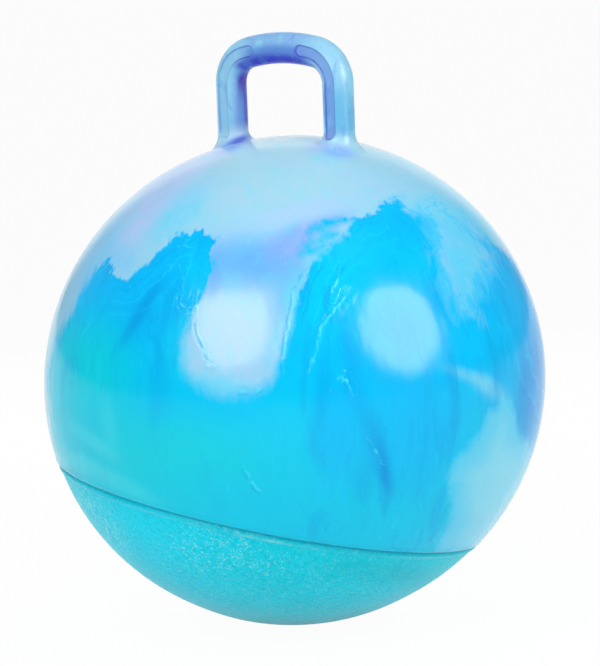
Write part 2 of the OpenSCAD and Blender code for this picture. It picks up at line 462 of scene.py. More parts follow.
def colour(code):
    """Linear colour from a hex code."""
    parts = np.array([int(code[i:i + 2], 16) for i in (0, 2, 4)]) / 255
    return np.where(parts <= 0.04045, parts / 12.92, ((parts + 0.055) / 1.055)**2.4)


CROWN = colour("c2e2ee")
ICE = colour("9cd0e4")
SKY = colour("92cde8")
LAVENDER = colour("a8c6f0")
PALE_LAVENDER = colour("bcd2f4")
LILAC = colour("7ea2f4")
PERIWINKLE = colour("60aaee")
RIM_BLUE = colour("7cc6f0")
# Pale tint, partly a painted highlight
FROST_AND_HIGHLIGHT = colour("9cc6e8")
AQUA = colour("64d2f2")
MIST = colour("8adaee")
FOAM = colour("46dcea")
AZURE = colour("00b7f6")
BRIGHT_AZURE = colour("00c8fe")
DEEP_AZURE = colour("00a4e6")
INK_AZURE = colour("0090dc")
CYAN = colour("00caec")
TURQUOISE = colour("00cfe0")
# Painted highlight on the crests of the flow lines
RIDGE_HIGHLIGHT = colour("4ce8ff")
THREAD_LIGHT = colour("20d8ff")
# Painted shade in and round the parting groove
GROOVE_SHADE_TEAL = colour("008aa4")
# Painted shade in the crease beside the left foot
CREASE_SHADE_INDIGO = colour("4448cc")

# Edge between the pale upper colours and the azure body, in pixels of the photo, left to right
MARBLE_EDGE = [
    (44, 500), (52, 462), (51, 440), (50, 420), (47, 395), (46, 370), (52, 352), (60, 332), (69, 316),
    (80, 297), (91, 277), (104, 262), (109, 252), (111, 256), (111, 266), (113, 275), (120, 281),
    (127, 282), (134, 275), (147, 265), (156, 254), (166, 244), (174, 236), (184, 236), (193, 232),
    (202, 230), (206, 236), (213, 239), (218, 240), (214, 250), (213, 262), (209, 272), (205, 286),
    (202, 298), (195, 306), (192, 321), (188, 333), (184, 342), (184, 356), (186, 370), (192, 381),
    (206, 390), (224, 396), (240, 395), (256, 391), (267, 384), (276, 372), (280, 356), (287, 338),
    (293, 318), (298, 304), (302, 285), (309, 268), (320, 254), (331, 243), (344, 234), (353, 221),
    (361, 215), (374, 213), (380, 206), (388, 200), (396, 195), (402, 198), (407, 208), (420, 213),
    (434, 216), (452, 220), (470, 230), (486, 240), (500, 248), (514, 263), (526, 284), (536, 306),
    (545, 335), (552, 365), (580, 420), (580, 720), (20, 720),
]
# Pale cloud that trails down from the right shoulder
CLOUD = [
    (410, 202), (416, 216), (424, 242), (430, 262), (434, 281), (439, 297), (446, 308), (457, 330),
    (464, 322), (484, 323), (482, 306), (492, 300), (497, 274), (500, 250), (486, 228), (462, 205),
    (434, 190),
]
# Brush strokes of azure on the pale colours, and their half width
BRUSH_STROKES = [
    [(312, 229), (324, 224), (336, 221), (352, 219)],
    [(310, 245), (322, 240), (338, 234)],
    [(302, 254), (312, 250), (326, 245)],
    [(485, 240), (491, 248), (497, 258)],
]
BRUSH_HALF_W = 2.8
# Pale drift low on the right of the azure body
LOWER_DRIFT = [
    (504, 392), (511, 402), (516, 417), (521, 434), (530, 442), (540, 470), (520, 520), (480, 556),
    (434, 552), (438, 540), (446, 528), (450, 517), (449, 506), (448, 488), (446, 479), (448, 469),
    (456, 458), (469, 445), (481, 430), (487, 413), (497, 404),
]
# Raised flow lines of the moulding
FLOW_LINES = [
    [(305, 274), (296, 291), (293, 312), (289, 331), (286, 344), (284, 366)],
    [(346, 295), (336, 307), (330, 316), (321, 328), (318, 344), (315, 356), (311, 366)],
    [(340, 270), (334, 286), (329, 300)],
    [(198, 296), (196, 317), (198, 333), (204, 348), (211, 362)],
    [(181, 271), (185, 282), (182, 293), (181, 303), (185, 309)],
    [(371, 443), (375, 450), (380, 459)],
    [(335, 384), (341, 376), (347, 381), (351, 392)],
    [(246, 470), (252, 481), (262, 493)],
    [(236, 391), (252, 393), (264, 387)],
    [(170, 247), (178, 245), (187, 247)],
]
FLOW_REACH = 11.0

# Soft patches, painted one over the other: colour, middle and half sizes in pixels, turn, strength
PALE_PATCHES = [
    (ICE, (270, 185), (110, 42), 0, 0.9),
    (SKY, (400, 178), (70, 30), 25, 0.7),
    (PALE_LAVENDER, (190, 166), (40, 12), -35, 0.8),
    (LAVENDER, (146, 212), (58, 17), -46, 0.95),
    (AQUA, (180, 211), (36, 13), -46, 0.8),
    (RIM_BLUE, (96, 268), (12, 46), 27, 0.9),
    (RIM_BLUE, (122, 260), (12, 18), 20, 0.7),
    # Pale band along the left rim, a painted rim reflection
    (MIST, (57, 400), (14, 70), 0, 0.9),
    (PERIWINKLE, (250, 264), (48, 25), 0, 0.95),
    (PERIWINKLE, (214, 274), (9, 24), 10, 0.8),
    (LILAC, (294, 243), (26, 15), -28, 0.9),
    (LILAC, (322, 226), (28, 9), -20, 0.7),
    (LAVENDER, (300, 212), (50, 9), -14, 0.5),
    (PERIWINKLE, (290, 296), (14, 40), 8, 0.7),
    (AQUA, (290, 304), (7, 30), 8, 0.6),
    # Pale patch under the left highlight, partly a painted highlight
    (FROST_AND_HIGHLIGHT, (233, 336), (40, 44), 0, 0.95),
    (AQUA, (212, 388), (40, 12), 8, 0.8),
    (AQUA, (276, 352), (9, 24), 10, 0.5),
    (AQUA, (450, 245), (54, 46), 35, 0.9),
    (AQUA, (450, 290), (40, 34), 0, 0.9),
]
# Painted shade beside the handle's feet, on the side that faces the camera: indigo in the left foot's
# crease, lilac and lavender round the feet
FOOT_SHADE_PATCHES = [
    (LILAC, (232, 145), (20, 6), -24, 0.7),
    (CREASE_SHADE_INDIGO, (238, 141), (11, 3.5), -24, 0.75),
    (LILAC, (337, 151), (16, 6), 12, 0.8),
    (LAVENDER, (318, 146), (14, 6), -20, 0.7),
]
BODY_PATCHES = [
    (BRIGHT_AZURE, (345, 300), (44, 66), 10, 0.9),
    (BRIGHT_AZURE, (417, 275), (16, 30), 0, 0.8),
    (BRIGHT_AZURE, (450, 345), (50, 30), 0, 0.7),
    (DEEP_AZURE, (140, 318), (14, 34), 28, 0.3),
    (BRIGHT_AZURE, (196, 270), (16, 26), 10, 0.4),
    (CYAN, (176, 344), (20, 44), 0, 0.7),
    (TURQUOISE, (86, 372), (46, 50), 0, 0.95),
    (TURQUOISE, (160, 460), (110, 46), 8, 0.95),
    (AZURE, (398, 330), (46, 46), 0, 0.9),
    (DEEP_AZURE, (397, 328), (34, 36), 0, 0.5),
    (CYAN, (300, 430), (40, 60), 0, 0.5),
    (DEEP_AZURE, (156, 388), (7, 40), 4, 0.3),
    (AZURE, (338, 420), (22, 60), 0, 0.7),
    (AZURE, (415, 430), (40, 60), 0, 0.7),
    (DEEP_AZURE, (376, 446), (10, 44), -16, 0.7),
    (INK_AZURE, (384, 470), (5, 26), -10, 0.85),
    (DEEP_AZURE, (362, 486), (9, 34), 6, 0.4),
    (DEEP_AZURE, (322, 392), (7, 44), 6, 0.45),
    (DEEP_AZURE, (352, 366), (9, 40), -6, 0.45),
    (INK_AZURE, (142, 311), (5, 38), 32, 0.65),
    (DEEP_AZURE, (176, 300), (10, 26), 12, 0.45),
    (INK_AZURE, (533, 385), (15, 64), 4, 0.9),
    (CYAN, (330, 515), (130, 22), 12, 0.8),
    (MIST, (466, 375), (20, 5), 20, 0.45),
    (MIST, (490, 388), (18, 8), 35, 0.6),
    (FOAM, (94, 442), (28, 6), 38, 0.5),
    (FOAM, (109, 424), (7, 26), -8, 0.3),
    (FOAM, (76, 461), (20, 8), 24, 0.6),
    (FOAM, (116, 481), (40, 7), 27, 0.5),
    # Paler body along the left rim, a painted rim reflection
    (FOAM, (56, 425), (9, 60), -6, 0.3),
]
# Where the marble's edge is soft: middle and half sizes in pixels, and its half width there
SOFT_PLACES = [
    ((236, 392), (70, 26), 12.0),
    ((184, 352), (16, 36), 9.0),
    ((286, 350), (18, 36), 7.0),
    ((64, 390), (16, 80), 6.0),
    ((455, 215), (60, 30), 8.0),
    ((84, 292), (22, 34), 4.0),
    ((318, 240), (30, 18), 9.0),
]
# Its half width elsewhere
CRISP_EDGE = 2.0
# Where the marble's edge is more ragged: middle and half sizes in pixels, turn, and how much more
RAGGED_PLACES = [
    ((200, 242), (34, 16), 0, 2.0),
    ((318, 240), (34, 20), 0, 0.8),
    ((396, 208), (44, 14), 0, 1.6),
    ((108, 262), (14, 20), 0, 1.6),
]
# How a patch's cover falls off from its middle
PATCH_FALL = 0.7
PATCH_POWER = 1.5
# Length in pixels over which a stroke fades at its ends
STROKE_END = 6
# Rows of the photo over which the crown and the body go from their first colour to the next
CROWN_ROWS = (135, 215)
BODY_ROWS = (300, 500)
# The body's streaks are calmer low on the left: columns, rows, and by how much
CALM_COLUMNS = (340, 260)
CALM_ROWS = (340, 430)
CALM = 0.8
# Nearness over which the painted shade beside the feet sets in, and over which the pattern turns wilder
FOOT_FRONT = (-0.15, 0.05)
FAR_FROM = (0.08, -0.25)


def cover_of(pixels, middle, half, turn=0):
    """Cover of one soft patch, 1 in its middle."""
    offset = pixels - np.array(middle)
    lean = math.radians(turn)
    along = offset[:, 0] * math.cos(lean) + offset[:, 1] * math.sin(lean)
    across = offset[:, 1] * math.cos(lean) - offset[:, 0] * math.sin(lean)
    return np.exp(-PATCH_FALL * ((along / half[0])**2 + (across / half[1])**2)**PATCH_POWER)


def strongest(pixels, places):
    """The strongest cover of several soft places at each pixel."""
    covers = [strength * cover_of(pixels, middle, half, turn) for middle, half, turn, strength in places]
    return np.max(covers, axis=0)


def paint(field, pixels, patches):
    """Lays soft patches of colour over a field of colours."""
    for tint, middle, half, turn, strength in patches:
        cover = strength * cover_of(pixels, middle, half, turn)
        field = field + cover[:, None] * (tint - field)
    return field


def stretch_distance(pixels, start, end):
    """Distance of pixels from a straight stretch of line."""
    side = end - start
    offset = pixels - start
    share = np.clip(offset @ side / (side @ side), 0, 1)
    return np.linalg.norm(offset - share[:, None] * side, axis=1)


def inside_distance(pixels, outline):
    """Distance in pixels to an outline, above zero inside it."""
    corners = np.array(outline, float)
    nearest = np.full(len(pixels), np.inf)
    inside = np.zeros(len(pixels), bool)
    for start, end in zip(corners, np.roll(corners, -1, axis=0)):
        side = end - start
        nearest = np.minimum(nearest, stretch_distance(pixels, start, end))
        crosses = (start[1] > pixels[:, 1]) != (end[1] > pixels[:, 1])
        rise = np.where(side[1] == 0, 1, side[1])
        inside ^= crosses & (pixels[:, 0] < start[0] + (pixels[:, 1] - start[1]) * side[0] / rise)
    return np.where(inside, nearest, -nearest)


def stroke_distance(pixels, strokes):
    """Signed distance to the nearest stroke, and 1 beside strokes fading to 0 past their ends."""
    nearest = np.full(len(pixels), np.inf)
    signed = np.zeros(len(pixels))
    beside = np.zeros(len(pixels))
    for stroke in strokes:
        points = np.array(stroke, float)
        ends = np.min([np.linalg.norm(pixels - points[i], axis=1) for i in (0, -1)], axis=0)
        for start, end in zip(points, points[1:]):
            distance = stretch_distance(pixels, start, end)
            side = end - start
            sign = np.where((pixels - start) @ np.array([-side[1], side[0]]) < 0, -1, 1)
            closer = distance < nearest
            nearest = np.where(closer, distance, nearest)
            signed = np.where(closer, sign * distance, signed)
            beside = np.where(closer, smoothstep(0, STROKE_END, ends), beside)
    return signed, beside * smoothstep(FLOW_REACH, FLOW_REACH / 2, nearest)


def pale_colours(points):
    """The pale colours of the ball's upper part, with painted shade beside the handle's feet on the side
    that faces the camera.
    """
    pixels = photo_pixels(points)
    down = smoothstep(*CROWN_ROWS, pixels[:, 1])[:, None]
    field = paint(CROWN + down * (SKY - CROWN), pixels, PALE_PATCHES)
    front = smoothstep(*FOOT_FRONT, nearness(points))[:, None]
    return field + front * (paint(field, pixels, FOOT_SHADE_PATCHES) - field)


def paint_skin(piece):
    """Stores the marbling's colours and edges on the upper skin's points."""
    points = points_of(piece)
    pixels = photo_pixels(points)
    down = smoothstep(*BODY_ROWS, pixels[:, 1])[:, None]
    store_colour(piece, "pale", pale_colours(points))
    store_colour(piece, "body", paint(AZURE + down * (CYAN - AZURE), pixels, BODY_PATCHES))
    strokes, _ = stroke_distance(pixels, BRUSH_STROKES)
    edge = np.maximum(inside_distance(pixels, MARBLE_EDGE), BRUSH_HALF_W - np.abs(strokes))
    store_value(piece, "edge", edge)
    store_value(piece, "far", smoothstep(*FAR_FROM, nearness(points)))
    soft = np.full(len(pixels), CRISP_EDGE)
    for middle, half, width in SOFT_PLACES:
        soft += cover_of(pixels, middle, half) * np.maximum(width - soft, 0)
    store_value(piece, "soft", soft)
    store_value(piece, "ragged", 1 + strongest(pixels, RAGGED_PLACES))
    calm = smoothstep(*CALM_COLUMNS, pixels[:, 0]) * smoothstep(*CALM_ROWS, pixels[:, 1])
    store_value(piece, "streaky", 1 - CALM * calm)
    store_value(piece, "drift", inside_distance(pixels, LOWER_DRIFT))
    store_value(piece, "cloud", inside_distance(pixels, CLOUD))
    flow, beside = stroke_distance(pixels, FLOW_LINES)
    store_value(piece, "flow", flow)
    store_value(piece, "beside_flow", beside)


# The base's colours
BASE_TEAL = colour("00d2e6")
BASE_CYAN = colour("00dcf6")
# Painted shadow under the groove on the right
BASE_SHADOW = colour("00bccc")
BASE_LOW = colour("00c8d4")
BASE_LIGHT = colour("00d8e0")
GRAIN_LIGHT = colour("00dff0")
GRAIN_DEEP = colour("00b4c8")
# Painted glints on the base's grain
PAINTED_GLINT = colour("b0f6fa")
# Painted highlight on the lip under the groove
LIP_HIGHLIGHT = colour("b4f0f4")
# Soft patches on the base, laid as those of the skin are
BASE_PATCHES = [
    (BASE_CYAN, (140, 525), (80, 44), 20, 0.9),
    # Painted shadow under the groove on the right
    (BASE_SHADOW, (384, 572), (52, 12), 4, 0.75),
    (BASE_LOW, (330, 622), (120, 16), 0, 0.6),
    (BASE_LIGHT, (440, 562), (18, 10), 0, 0.5),
]
# Where painted glints lie on the base's grain: middle and half sizes in pixels, turn, strength
PAINTED_GLINT_PLACES = [
    ((98, 524), (16, 56), -34, 1.0),
    ((216, 550), (48, 26), 0, 0.75),
    ((268, 566), (26, 12), 0, 0.7),
    ((300, 585), (140, 40), 0, 0.3),
]
# Strength of the painted glints on the far side, and the nearness over which it takes over
FAR_PAINTED_GLINT = 0.35
GLINT_FRONT = (-0.3, 0.2)
# Where a painted highlight lies on the lip under the groove: middle and half sizes in pixels, turn,
# strength
LIP_HIGHLIGHT_PLACES = [
    ((272, 540), (34, 20), 0, 1.0),
    ((426, 558), (30, 14), 0, 0.5),
    ((166, 516), (40, 20), 0, 0.35),
]


def paint_base(piece):
    """Stores the base's colours, the painted glints on its grain and the painted highlight on its lip.
    """
    points = points_of(piece)
    pixels = photo_pixels(points)
    front = smoothstep(*GLINT_FRONT, nearness(points))
    glint = strongest(pixels, PAINTED_GLINT_PLACES) * front
    store_value(piece, "glint", np.maximum(glint, FAR_PAINTED_GLINT * (1 - front)))
    store_colour(piece, "tint", paint(np.tile(BASE_TEAL, (len(pixels), 1)), pixels, BASE_PATCHES))
    below = below_groove(unit(points - CENTRE))
    # Where the painted highlight on the lip lies
    store_value(piece, "lip", strongest(pixels, LIP_HIGHLIGHT_PLACES) * lip_share(below))


# The handle's colours
HANDLE_SKY = colour("92cbe8")
HANDLE_CYAN = colour("66b6de")
HANDLE_AQUA = colour("90dcea")
# The lavender, blue, indigo and violet also serve as painted shade on the handle's inner and back sides
HANDLE_LAVENDER_AND_SHADE = colour("6a90de")
HANDLE_SHADE_BLUE = colour("5688d6")
HANDLE_SHADE_INDIGO = colour("3c3cc4")
HANDLE_SHADE_VIOLET = colour("5634b8")
CHANNEL_BLUE = colour("789ee2")
# The side of a leg that gets painted shade: its share of inward and of backward
SHADED_SIDE = (0.79, 0.62)
# Stretches of the loop, by the distance along it from its middle, in metres
GRIP_SPAN = (0.046, 0.022)
LEG_SPAN = (0.045, 0.06)
LOW_LEG_SPAN = (0.068, 0.092)
CORNER_AT = 0.07
CORNER_W = 0.016
# Change from the left half to the right one by x, and from the ball's colours by height, in metres
RIGHT_SPAN = (-0.01, 0.02)
FOOT_SPAN = (0.004, 0.02)


def paint_handle(piece, rings, outward, front, from_middle, sunk, wall):
    """Stores the handle's colours on its points, painted shade included, and where they are free of its
    feet.
    """
    shape = rings.shape[:2]
    inner = np.broadcast_to(-outward, shape).ravel()
    back = np.broadcast_to(-front, shape).ravel()
    reach = np.broadcast_to(from_middle[:, None], shape).ravel()
    points = rings.reshape(-1, 3)
    right = smoothstep(*RIGHT_SPAN, points[:, 0])
    left = 1 - right
    grip = smoothstep(*GRIP_SPAN, reach)
    leg = smoothstep(*LEG_SPAN, reach)
    corner = np.exp(-((reach - CORNER_AT) / CORNER_W)**2)
    free = smoothstep(*FOOT_SPAN, points[:, 2] - skin_height(points[:, 0], points[:, 1]))
    shaded = SHADED_SIDE[0] * inner + SHADED_SIDE[1] * back
    low = 0.22 + 0.23 * right
    bend = (1 - leg) * smoothstep(0.0, 0.15, inner)
    # Colours laid one over the other, and the cover of each; those that grow towards the loop's inner
    # side or a leg's back are partly the handle's own colour, partly painted shade
    layers = [
        (HANDLE_CYAN, 0.9 * right * smoothstep(*LOW_LEG_SPAN, reach)),
        (HANDLE_LAVENDER_AND_SHADE, 0.8 * leg * left * smoothstep(-0.15, 0.5, shaded)),
        (HANDLE_LAVENDER_AND_SHADE, 0.42 * grip),
        (HANDLE_SHADE_BLUE, 0.9 * grip * smoothstep(-0.5, 0.1, inner)),
        (HANDLE_SHADE_INDIGO, 0.95 * grip * smoothstep(0.1, 0.65, inner)),
        (HANDLE_SHADE_INDIGO, 0.85 * (1 - grip) * (1 - leg) * smoothstep(low, low + 0.45, inner)),
        (HANDLE_SHADE_INDIGO, 0.85 * leg * left * smoothstep(0.66, 0.95, shaded)),
        (HANDLE_SHADE_VIOLET, 0.9 * corner * left * smoothstep(0.25, 0.6, shaded)),
        (pale_colours(CENTRE + points), 1 - free),
        (CHANNEL_BLUE, (0.04 + 0.7 * right) * sunk.ravel()),
        # Painted shade along the channels' walls
        (HANDLE_SHADE_INDIGO, (0.4 + 0.3 * np.maximum(right, 1.6 * bend)) * wall.ravel()),
    ]
    tint = np.tile(HANDLE_SKY, (len(points), 1))
    for layer, cover in layers:
        tint = tint + cover[:, None] * (layer - tint)
    store_colour(piece, "tint", tint)
    store_value(piece, "free", free)


# The valve's colours
SEAT_BLUE = colour("9cc6ee")
SEAT_LIGHT = colour("b4d6f2")
PLUG_WHITE = colour("eceeec")
PLUG_LIGHT = colour("f4f5f3")


# Materials

# How far noise moves the edges of the marbling, in pixels of the photo
EDGE_WANDER = 14
EDGE_BRUSH = 11
FAR_SWIRL = 150
CLOUD_WANDER = 46
FLOW_RIPPLE = 6
# Distance of a flow line's hollow from its crest, in pixels
HOLLOW_AT = 3.2
# Turns per pixel of the bands along the marble's edge and along the cloud's
EDGE_BANDS = 0.17
CLOUD_BANDS = 0.12
# Strength of the painted shade in and round the groove
GROOVE_SHADE_MIX = 0.5


class Tree:
    """Builds the nodes of a material or a world."""

    def __init__(self, name, kind="materials"):
        self.owner = getattr(bpy.data, kind).new(name)
        self.owner.use_nodes = True
        self.tree = self.owner.node_tree
        self.shader = self.tree.nodes.get("Principled BSDF")

    def add(self, kind, inputs=(), **settings):
        """Adds a node with its settings, and puts values into its named inputs."""
        node = self.tree.nodes.new(kind)
        for key, value in settings.items():
            setattr(node, key, value)
        for key, value in dict(inputs).items():
            self.put(node.inputs[key], value)
        return node

    def put(self, socket, value):
        """Links a socket into an input, or sets the input's own value."""
        if isinstance(value, bpy.types.NodeSocket):
            self.tree.links.new(value, socket)
        elif hasattr(value, "__len__"):
            socket.default_value = tuple(value) + (1,) * (len(socket.default_value) - len(value))
        else:
            socket.default_value = value

    def place(self):
        return self.add("ShaderNodeTexCoord").outputs["Object"]

    def stored(self, name, output="Fac"):
        """A value or colour stored on the mesh's points."""
        return self.add("ShaderNodeAttribute", attribute_name=name).outputs[output]

    def drawn(self, place, share):
        """Places from which a pattern comes out drawn downwards, as its height shrinks to a share."""
        inputs = {"Vector": place, "Scale": (1, 1, share)}
        return self.add("ShaderNodeMapping", inputs).outputs["Vector"]

    def noise(self, place, scale, detail=3, roughness=0.55, distortion=0.0):
        inputs = {"Vector": place, "Scale": scale, "Detail": detail,
                  "Roughness": roughness, "Distortion": distortion}
        return self.add("ShaderNodeTexNoise", inputs).outputs["Fac"]

    def bands(self, value, detail=3, roughness=0.55):
        """Noise along one value."""
        inputs = {"W": value, "Scale": 1.0, "Detail": detail, "Roughness": roughness}
        return self.add("ShaderNodeTexNoise", inputs, noise_dimensions="1D").outputs["Fac"]

    def cells(self, place, scale):
        """Soft pebbles: distance from the nearest cell's middle."""
        inputs = {"Vector": place, "Scale": scale}
        return self.add("ShaderNodeTexVoronoi", inputs, feature="SMOOTH_F1").outputs["Distance"]

    def math(self, operation, first, second=0.0):
        inputs = {0: first, 1: second}
        return self.add("ShaderNodeMath", inputs, operation=operation).outputs[0]

    def wave(self, noise, width):
        """Noise moved to either side of zero, at a width."""
        return self.math("MULTIPLY", self.math("SUBTRACT", noise, 0.5), width)

    def step(self, value, low, high, most=1.0, least=0.0):
        """Smooth step of a value, from least at low to most at high."""
        inputs = {"Value": value, "From Min": low, "From Max": high, "To Min": least, "To Max": most}
        return self.add("ShaderNodeMapRange", inputs, interpolation_type="SMOOTHSTEP").outputs["Result"]

    def lay(self, under, over, cover, *masks):
        """Lays a colour over another, as far as its cover and all the masks let it."""
        for mask in masks:
            cover = self.math("MULTIPLY", cover, mask)
        inputs = {0: cover, 6: under, 7: over}
        return self.add("ShaderNodeMix", inputs, data_type="RGBA").outputs[2]

    def bump(self, height, distance, strength, normal=None):
        node = self.add("ShaderNodeBump", {"Height": height, "Distance": distance, "Strength": strength})
        if normal is not None:
            self.put(node.inputs["Normal"], normal)
        return node.outputs["Normal"]

    def shade(self, **values):
        """Puts values into the shader's inputs, named with _ for a space."""
        for key, value in values.items():
            self.put(self.shader.inputs[key.replace("_", " ")], value)
        return self.owner


def marbled_vinyl():
    """Glossy skin: an azure body and a pale crown that meet along the marbled edge."""
    tree = Tree("marbled_vinyl")
    place = tree.place()
    drawn = tree.drawn(place, 0.5)
    edge = tree.stored("edge")
    soft = tree.stored("soft")
    broad = tree.noise(drawn, 34, distortion=0.4)
    brush = tree.noise(drawn, 150, detail=4, roughness=0.6, distortion=0.5)
    brushed = tree.wave(brush, tree.math("MULTIPLY", tree.stored("ragged"), EDGE_BRUSH))
    wander = tree.math("ADD", tree.wave(broad, EDGE_WANDER), brushed)
    swirl = tree.noise(drawn, 13, detail=4, roughness=0.6, distortion=1.5)
    swirled = tree.wave(swirl, tree.math("MULTIPLY", tree.stored("far"), FAR_SWIRL))
    astray = tree.math("ADD", wander, swirled)

    # The body: streaks, fine threads, and bands along the marbled edge
    streaks = tree.noise(tree.drawn(place, 0.2), 34, detail=4, roughness=0.6, distortion=0.9)
    streaky = tree.stored("streaky")
    body = tree.stored("body", "Color")
    body = tree.lay(body, DEEP_AZURE, tree.step(streaks, 0.5, 0.7, 0.55), streaky)
    body = tree.lay(body, BRIGHT_AZURE, tree.step(streaks, 0.45, 0.25, 0.5), streaky)
    threads = tree.noise(tree.drawn(place, 0.16), 120, detail=4, roughness=0.65, distortion=1.1)
    body = tree.lay(body, DEEP_AZURE, tree.step(threads, 0.54, 0.72, 0.4), streaky)
    body = tree.lay(body, THREAD_LIGHT, tree.step(threads, 0.42, 0.26, 0.35))
    contour = tree.math("ADD", edge, tree.math("MULTIPLY", wander, 0.7))
    bands = tree.bands(tree.math("MULTIPLY", contour, EDGE_BANDS), detail=1.5, roughness=0.6)
    parts = tree.step(tree.noise(place, 26, detail=2), 0.36, 0.52)
    banded = tree.math("MULTIPLY", tree.step(edge, 52, 10), parts)
    banded = tree.math("MULTIPLY", banded, tree.step(soft, 4.5, 2.5))
    body = tree.lay(body, DEEP_AZURE, tree.step(bands, 0.52, 0.66, 0.6), banded)
    body = tree.lay(body, THREAD_LIGHT, tree.step(bands, 0.46, 0.32, 0.45), banded)

    # The crown: clouds and a finer mottle
    clouds = tree.noise(drawn, 20, detail=4, distortion=0.6)
    pale = tree.stored("pale", "Color")
    pale = tree.lay(pale, LAVENDER, tree.step(clouds, 0.5, 0.72, 0.3))
    pale = tree.lay(pale, AQUA, tree.step(clouds, 0.47, 0.25, 0.45))
    mottle = tree.noise(tree.drawn(place, 0.6), 75, detail=5, roughness=0.65, distortion=0.8)
    pale = tree.lay(pale, AQUA, tree.step(mottle, 0.5, 0.75, 0.35))
    pale = tree.lay(pale, PALE_LAVENDER, tree.step(mottle, 0.48, 0.25, 0.22))
    cover = tree.step(tree.math("ADD", edge, astray), tree.math("MULTIPLY", soft, -1), soft)
    tint = tree.lay(pale, body, cover)

    # The drift low on the right, and the cloud with its veins on the right shoulder
    drift = tree.math("ADD", tree.stored("drift"), astray)
    tint = tree.lay(tint, AQUA, tree.step(drift, -4, 7, 0.85))
    tint = tree.lay(tint, MIST, tree.step(drift, 2, 34, 0.9))
    wisps = tree.noise(tree.drawn(place, 0.35), 60, detail=5, roughness=0.65, distortion=1.2)
    inside = tree.stored("cloud")
    cloud = tree.math("ADD", inside, tree.wave(wisps, CLOUD_WANDER))
    tint = tree.lay(tint, pale, tree.step(cloud, -4, 24, 0.85))
    veins = tree.bands(tree.math("MULTIPLY", cloud, CLOUD_BANDS))
    tint = tree.lay(tint, BRIGHT_AZURE, tree.step(veins, 0.52, 0.66, 0.65), tree.step(inside, 0, 8))

    # The flow lines, each a crest with a hollow beside it: raised by bump, with a painted highlight on
    # the crest and painted shade in the hollow
    ripple = tree.wave(tree.noise(place, 130, detail=1.5), FLOW_RIPPLE)
    flow = tree.math("ADD", tree.stored("flow"), ripple)
    beside = tree.stored("beside_flow")
    shown = tree.math("MULTIPLY", beside, tree.step(tree.noise(place, 120, detail=2), 0.36, 0.56))
    crest = tree.math("MULTIPLY", tree.step(tree.math("ABSOLUTE", flow), 2.0, 0.2), shown)
    from_hollow = tree.math("ABSOLUTE", tree.math("SUBTRACT", flow, HOLLOW_AT))
    hollow = tree.math("MULTIPLY", tree.step(from_hollow, 2.2, 0.2), shown)
    # Painted highlight on the crest, painted shade in the hollow
    tint = tree.lay(tint, RIDGE_HIGHLIGHT, crest, 0.5)
    tint = tree.lay(tint, DEEP_AZURE, hollow, 0.5)
    # Painted shade in and round the groove
    tint = tree.lay(tint, GROOVE_SHADE_TEAL, tree.stored("groove"), GROOVE_SHADE_MIX)

    # The surface: a slight sag, the flow lines with their wrinkles, and a fine grain
    wrinkles = tree.math("MULTIPLY", tree.noise(tree.drawn(place, 0.4), 240), beside)
    normal = tree.bump(tree.noise(drawn, 32), 1.1 * MM, 0.7)
    normal = tree.bump(tree.math("SUBTRACT", crest, hollow), 0.4 * MM, 0.4, normal)
    normal = tree.bump(wrinkles, 0.6 * MM, 0.6, normal)
    normal = tree.bump(tree.noise(place, 900, detail=2), 0.05 * MM, 0.3, normal)
    gloss = tree.step(streaks, 0.3, 0.8, 0.19, 0.13)
    return tree.shade(Base_Color=tint, Roughness=gloss, Specular_IOR_Level=0.2, Normal=normal)


def grained_vinyl():
    """Satin base with a pebble grain and painted glints in places."""
    tree = Tree("grained_vinyl")
    place = tree.place()
    tint = tree.stored("tint", "Color")
    tint = tree.lay(tint, GRAIN_LIGHT, tree.step(tree.noise(place, 9), 0.4, 0.7, 0.4))
    grain = tree.cells(place, 370)
    tint = tree.lay(tint, GRAIN_DEEP, tree.step(grain, 0.3, 0.75, 0.35))
    # Painted glints: pale specks on the grain where the stored cover lets them show
    spark = tree.step(tree.noise(place, 330, detail=1, distortion=2.0), 0.54, 0.66)
    some = tree.step(tree.noise(place, 110, detail=2), 0.36, 0.52)
    tint = tree.lay(tint, PAINTED_GLINT, spark, some, tree.stored("glint"), 0.8)
    # Painted highlight on the lip under the groove, broken up by noise
    broken = tree.step(tree.noise(place, 60, detail=4, roughness=0.7), 0.35, 0.7, 0.7, 0.1)
    tint = tree.lay(tint, LIP_HIGHLIGHT, tree.stored("lip"), broken)
    # Painted shade in and round the groove
    tint = tree.lay(tint, GROOVE_SHADE_TEAL, tree.stored("groove"), GROOVE_SHADE_MIX)
    normal = tree.bump(grain, 1.0 * MM, 0.6)
    return tree.shade(Base_Color=tint, Roughness=0.4, Specular_IOR_Level=0.12, Normal=normal)


def handle_vinyl():
    """Satin handle, streaked where it is free of the ball and mottled where it is pale."""
    tree = Tree("handle_vinyl")
    place = tree.place()
    tint = tree.stored("tint", "Color")
    free = tree.stored("free")
    streaks = tree.noise(tree.drawn(place, 0.5), 90, detail=4, roughness=0.6, distortion=0.9)
    tint = tree.lay(tint, HANDLE_LAVENDER_AND_SHADE, tree.step(streaks, 0.52, 0.75, 0.6), free)
    tint = tree.lay(tint, HANDLE_CYAN, tree.step(streaks, 0.46, 0.28, 0.22), free)
    mottle = tree.noise(tree.drawn(place, 0.6), 42, detail=4, roughness=0.6, distortion=1.0)
    pale = tree.step(tree.stored("tint"), 0.3, 0.5)
    tint = tree.lay(tint, HANDLE_AQUA, tree.step(mottle, 0.48, 0.7, 0.55), pale)
    normal = tree.bump(tree.noise(place, 160), 0.3 * MM, 0.3)
    return tree.shade(Base_Color=tint, Roughness=0.26, Specular_IOR_Level=0.2, Normal=normal)


